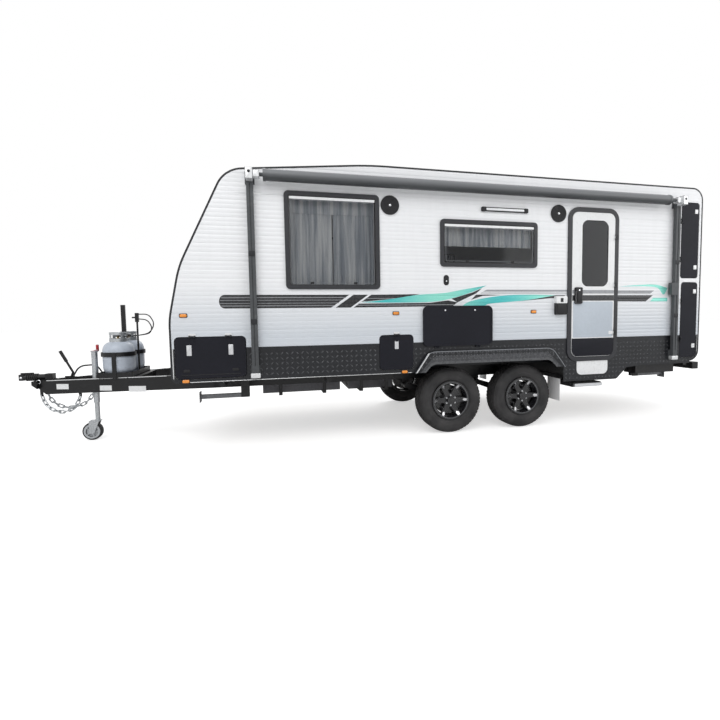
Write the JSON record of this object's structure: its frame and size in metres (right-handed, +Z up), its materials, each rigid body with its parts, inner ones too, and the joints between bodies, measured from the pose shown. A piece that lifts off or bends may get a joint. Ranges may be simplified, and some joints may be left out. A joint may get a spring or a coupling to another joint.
{
  "type": "tandem axle travel caravan",
  "caption": "Off-road travel caravan with A-frame drawbar, jockey stand, tandem sprung axles, hinged door, boots, lockers, table, roll-out awning, steadies and tail-mounted spare.",
  "frame": {"origin": "on the ground, under the middle of the vehicle's box", "axes": "+X rearwards along the vehicle, the drawbar pointing to -X; +Y to the vehicle's right, the entry door facing -Y; +Z up"},
  "size_m": [8.3832, 2.6088, 3.106],
  "materials": {
    "awning_vinyl": "grey vinyl",
    "black_alloy": "black alloy with machined faces",
    "black_checker": "black checker plate",
    "black_panel": "smooth satin black paint",
    "black_plastic": "black plastic",
    "black_trim": "satin black",
    "bottle_grey": "grey painted steel",
    "bright_steel": "bright plated steel",
    "chassis_black": "black paint on steel",
    "curtain_cloth": "pleated grey-white cloth",
    "dark_grey_arm": "dark grey powder coat",
    "floor_board": "sealed floor board",
    "hose_rubber": "black hose",
    "jockey_rubber": "black rubber",
    "lamp_lens": "clear amber and red lens",
    "spring_steel": "black coated spring",
    "steady_zinc": "zinc plated steel",
    "step_aluminium": "ribbed aluminium",
    "tinted_glass": "dark tinted acrylic",
    "tyre": "tyre rubber",
    "white_panel": "satin white composite panel",
    "white_rubber": "white rubber"
  },
  "bodies": {
    "body": {"left_wall": "white_panel", "right_wall": "white_panel", "front_wall": "white_panel", "roof": "white_panel", "rear_wall": "white_panel", "floor": "floor_board", "edge_mouldings": "black_trim", "skirts": "black_checker", "wheel_arches": "black_trim", "wall_frames": "black_trim", "window_panes": "tinted_glass", "curtains": "curtain_cloth", "hinges": "black_trim", "awning_roll": "awning_vinyl", "awning_arms": "dark_grey_arm", "side_fittings": "black_plastic", "lamps": "lamp_lens", "chassis_rails": "chassis_black", "cross_members": "chassis_black", "drawbar_arms": "chassis_black", "coupling": "chassis_black", "handbrake_lever": "black_plastic", "safety_chains": "bright_steel", "jockey_tube": "chassis_black", "gas_bottles": "bottle_grey", "gas_rack": "chassis_black", "gas_hoses": "hose_rubber", "suspension_arms": "chassis_black", "coil_springs": "spring_steel", "mud_flaps": "white_rubber", "water_tanks": "black_plastic", "rear_bumper": "chassis_black", "spare_tyre": "tyre", "spare_rim": "black_alloy", "roof_fittings": "white_panel", "partitions": "floor_board"},
    "entry_door": {"entry_door": "white_panel", "door_glass": "tinted_glass"},
    "boot_door_left": {"boot_door_left": "black_panel"},
    "boot_door_right": {"boot_door_right": "black_panel"},
    "service_hatch": {"service_hatch": "black_panel"},
    "locker_door_upper": {"locker_door_upper": "black_panel"},
    "locker_door_lower": {"locker_door_lower": "black_panel"},
    "picnic_table": {"picnic_table": "black_panel"},
    "entry_step": {"entry_step": "step_aluminium"},
    "jockey_leg": {"jockey_leg": "bright_steel"},
    "jockey_fork": {"jockey_fork": "chassis_black"},
    "jockey_wheel": {"jockey_wheel": "jockey_rubber"},
    "wheel_front_left": {"tyre_front_left": "tyre", "rim_front_left": "black_alloy"},
    "steady_front_left": {"steady_front_left": "steady_zinc"},
    "wheel_front_right": {"tyre_front_right": "tyre", "rim_front_right": "black_alloy"},
    "steady_front_right": {"steady_front_right": "steady_zinc"},
    "wheel_rear_left": {"tyre_rear_left": "tyre", "rim_rear_left": "black_alloy"},
    "steady_rear_left": {"steady_rear_left": "steady_zinc"},
    "wheel_rear_right": {"tyre_rear_right": "tyre", "rim_rear_right": "black_alloy"},
    "steady_rear_right": {"steady_rear_right": "steady_zinc"}
  },
  "joints": [
    {"name": "wheel_spin_front_left", "type": "hinge", "parent": "body", "child": "wheel_front_left", "pos_m": [0.48909, -1.0315, 0.375], "axis": [0, 1, 0], "continuous": true},
    {"name": "wheel_spin_front_right", "type": "hinge", "parent": "body", "child": "wheel_front_right", "pos_m": [0.48909, 1.1485, 0.375], "axis": [0, 1, 0], "continuous": true},
    {"name": "wheel_spin_rear_left", "type": "hinge", "parent": "body", "child": "wheel_rear_left", "pos_m": [1.39409, -1.0315, 0.375], "axis": [0, 1, 0], "continuous": true},
    {"name": "wheel_spin_rear_right", "type": "hinge", "parent": "body", "child": "wheel_rear_right", "pos_m": [1.39409, 1.1485, 0.375], "axis": [0, 1, 0], "continuous": true},
    {"name": "entry_door_hinge", "type": "hinge", "parent": "body", "child": "entry_door", "pos_m": [2.52459, -1.172, 1.53], "axis": [0, 0, 1], "range_deg": [0, 165]},
    {"name": "boot_hinge_left", "type": "hinge", "parent": "body", "child": "boot_door_left", "pos_m": [-2.02165, -1.158, 1.1625], "axis": [-1, 0, 0], "range_deg": [0, 95]},
    {"name": "boot_hinge_right", "type": "hinge", "parent": "body", "child": "boot_door_right", "pos_m": [-2.02165, 1.275, 1.1625], "axis": [1, 0, 0], "range_deg": [0, 95]},
    {"name": "service_hatch_hinge", "type": "hinge", "parent": "body", "child": "service_hatch", "pos_m": [-0.17541, -1.158, 1.1375], "axis": [-1, 0, 0], "range_deg": [0, 95]},
    {"name": "locker_hinge_upper", "type": "hinge", "parent": "body", "child": "locker_door_upper", "pos_m": [3.50585, -1.154, 2.231], "axis": [0, 0, -1], "range_deg": [0, 95]},
    {"name": "locker_hinge_lower", "type": "hinge", "parent": "body", "child": "locker_door_lower", "pos_m": [3.52585, -1.158, 1.24], "axis": [0, 0, -1], "range_deg": [0, 95]},
    {"name": "table_hinge", "type": "hinge", "parent": "body", "child": "picnic_table", "pos_m": [0.51939, -1.158, 0.9955], "axis": [1, 0, 0], "range_deg": [0, 90]},
    {"name": "step_slide", "type": "slide", "parent": "body", "child": "entry_step", "axis": [0, -1, 0], "range_m": [0, 0.28]},
    {"name": "jockey_slide", "type": "slide", "parent": "body", "child": "jockey_leg", "axis": [0, 0, 1], "range_m": [-0.1, 0.15]},
    {"name": "jockey_swivel", "type": "hinge", "parent": "jockey_leg", "child": "jockey_fork", "pos_m": [-3.38065, -0.10769, 0.245], "axis": [0, 0, 1], "continuous": true},
    {"name": "jockey_spin", "type": "hinge", "parent": "jockey_fork", "child": "jockey_wheel", "pos_m": [-3.43565, -0.10769, 0.1], "axis": [0, 1, 0], "continuous": true},
    {"name": "steady_front_left_hinge", "type": "hinge", "parent": "body", "child": "steady_front_left", "pos_m": [-1.74065, -0.8215, 0.535], "axis": [0, -1, 0], "range_deg": [0, 90]},
    {"name": "steady_front_right_hinge", "type": "hinge", "parent": "body", "child": "steady_front_right", "pos_m": [-1.74065, 0.9385, 0.535], "axis": [0, -1, 0], "range_deg": [0, 90]},
    {"name": "steady_rear_left_hinge", "type": "hinge", "parent": "body", "child": "steady_rear_left", "pos_m": [3.13935, -0.8215, 0.535], "axis": [0, 1, 0], "range_deg": [0, 90]},
    {"name": "steady_rear_right_hinge", "type": "hinge", "parent": "body", "child": "steady_rear_right", "pos_m": [3.13935, 0.9385, 0.535], "axis": [0, 1, 0], "range_deg": [0, 90]}
  ]
}
